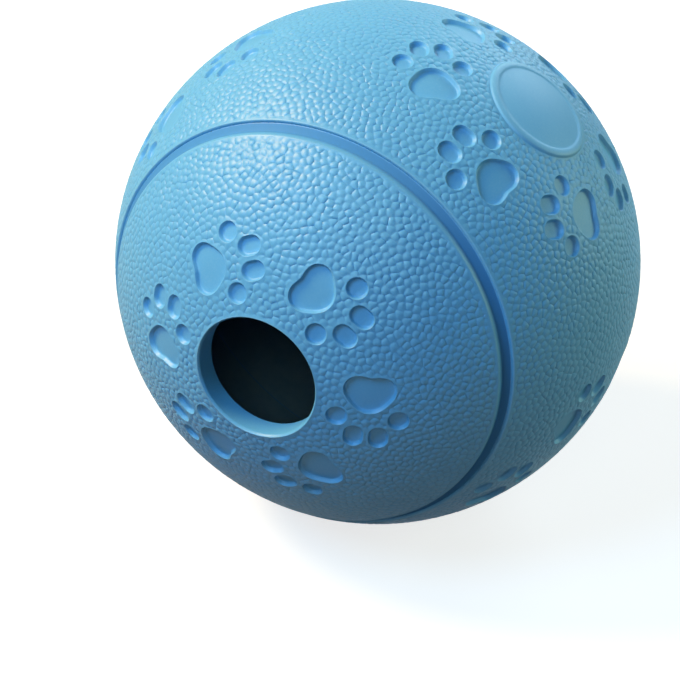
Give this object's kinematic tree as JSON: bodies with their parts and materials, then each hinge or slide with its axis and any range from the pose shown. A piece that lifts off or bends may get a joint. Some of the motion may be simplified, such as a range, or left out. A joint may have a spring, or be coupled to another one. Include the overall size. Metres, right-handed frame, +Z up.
{
  "type": "treat dispensing ball",
  "caption": "Hollow ball of pebbled rubber with a round treat hole, turned grooves and moulded paw prints; dry treats drop out through the hole as a pet rolls it.",
  "frame": {"origin": "centre of the ball's outer sphere", "axes": "-Y out of the treat hole along the hole's axis, +Z up, +X to the right as the hole is looked into"},
  "size_m": [0.11, 0.1085, 0.11],
  "materials": {
    "shell_rubber": "satin moulded rubber, pebbled skin with smooth prints, grooves, bore and medallion",
    "bond_cement": "cured rubber cement in the shells' colour"
  },
  "bodies": {
    "root": {"front_shell": "shell_rubber", "rear_shell": "shell_rubber", "bond_seam": "bond_cement"}
  },
  "joints": []
}
